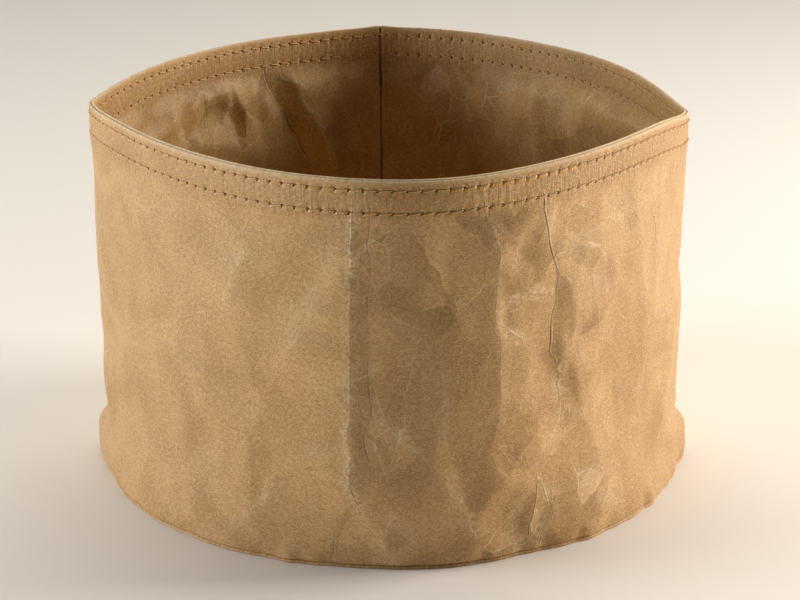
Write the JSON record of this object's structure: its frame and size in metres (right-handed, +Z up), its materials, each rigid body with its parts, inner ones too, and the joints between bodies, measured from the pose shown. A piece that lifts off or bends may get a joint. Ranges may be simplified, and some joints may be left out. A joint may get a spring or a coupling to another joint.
{
  "type": "round paper fabric bag",
  "caption": "Round open-top bag of washable kraft paper: an outer bag and a sewn-in lining, joined round the rim by two rows of stitching.",
  "frame": {"origin": "middle of the underside, on the surface that the bag stands on", "axes": "+Z up along the bag's axis; -Y is the front and the back seams are at +Y"},
  "size_m": [0.2008, 0.2008, 0.13],
  "materials": {
    "kraft_paper": "washed and creased, matt with a slight sheen",
    "sewing_thread": "twisted polyester thread, satin"
  },
  "bodies": {
    "root": {"outer_wall": "kraft_paper", "outer_disc": "kraft_paper", "lining_wall": "kraft_paper", "lining_disc": "kraft_paper", "lining_back_bobbin_thread": "sewing_thread", "lining_back_needle_thread": "sewing_thread", "lining_foot_bobbin_thread": "sewing_thread", "lining_foot_needle_thread": "sewing_thread", "outer_back_bobbin_thread": "sewing_thread", "outer_back_needle_thread": "sewing_thread", "outer_foot_bobbin_thread": "sewing_thread", "outer_foot_needle_thread": "sewing_thread", "rim_lower_bobbin_thread": "sewing_thread", "rim_lower_needle_thread": "sewing_thread", "rim_upper_bobbin_thread": "sewing_thread", "rim_upper_needle_thread": "sewing_thread"}
  },
  "joints": []
}
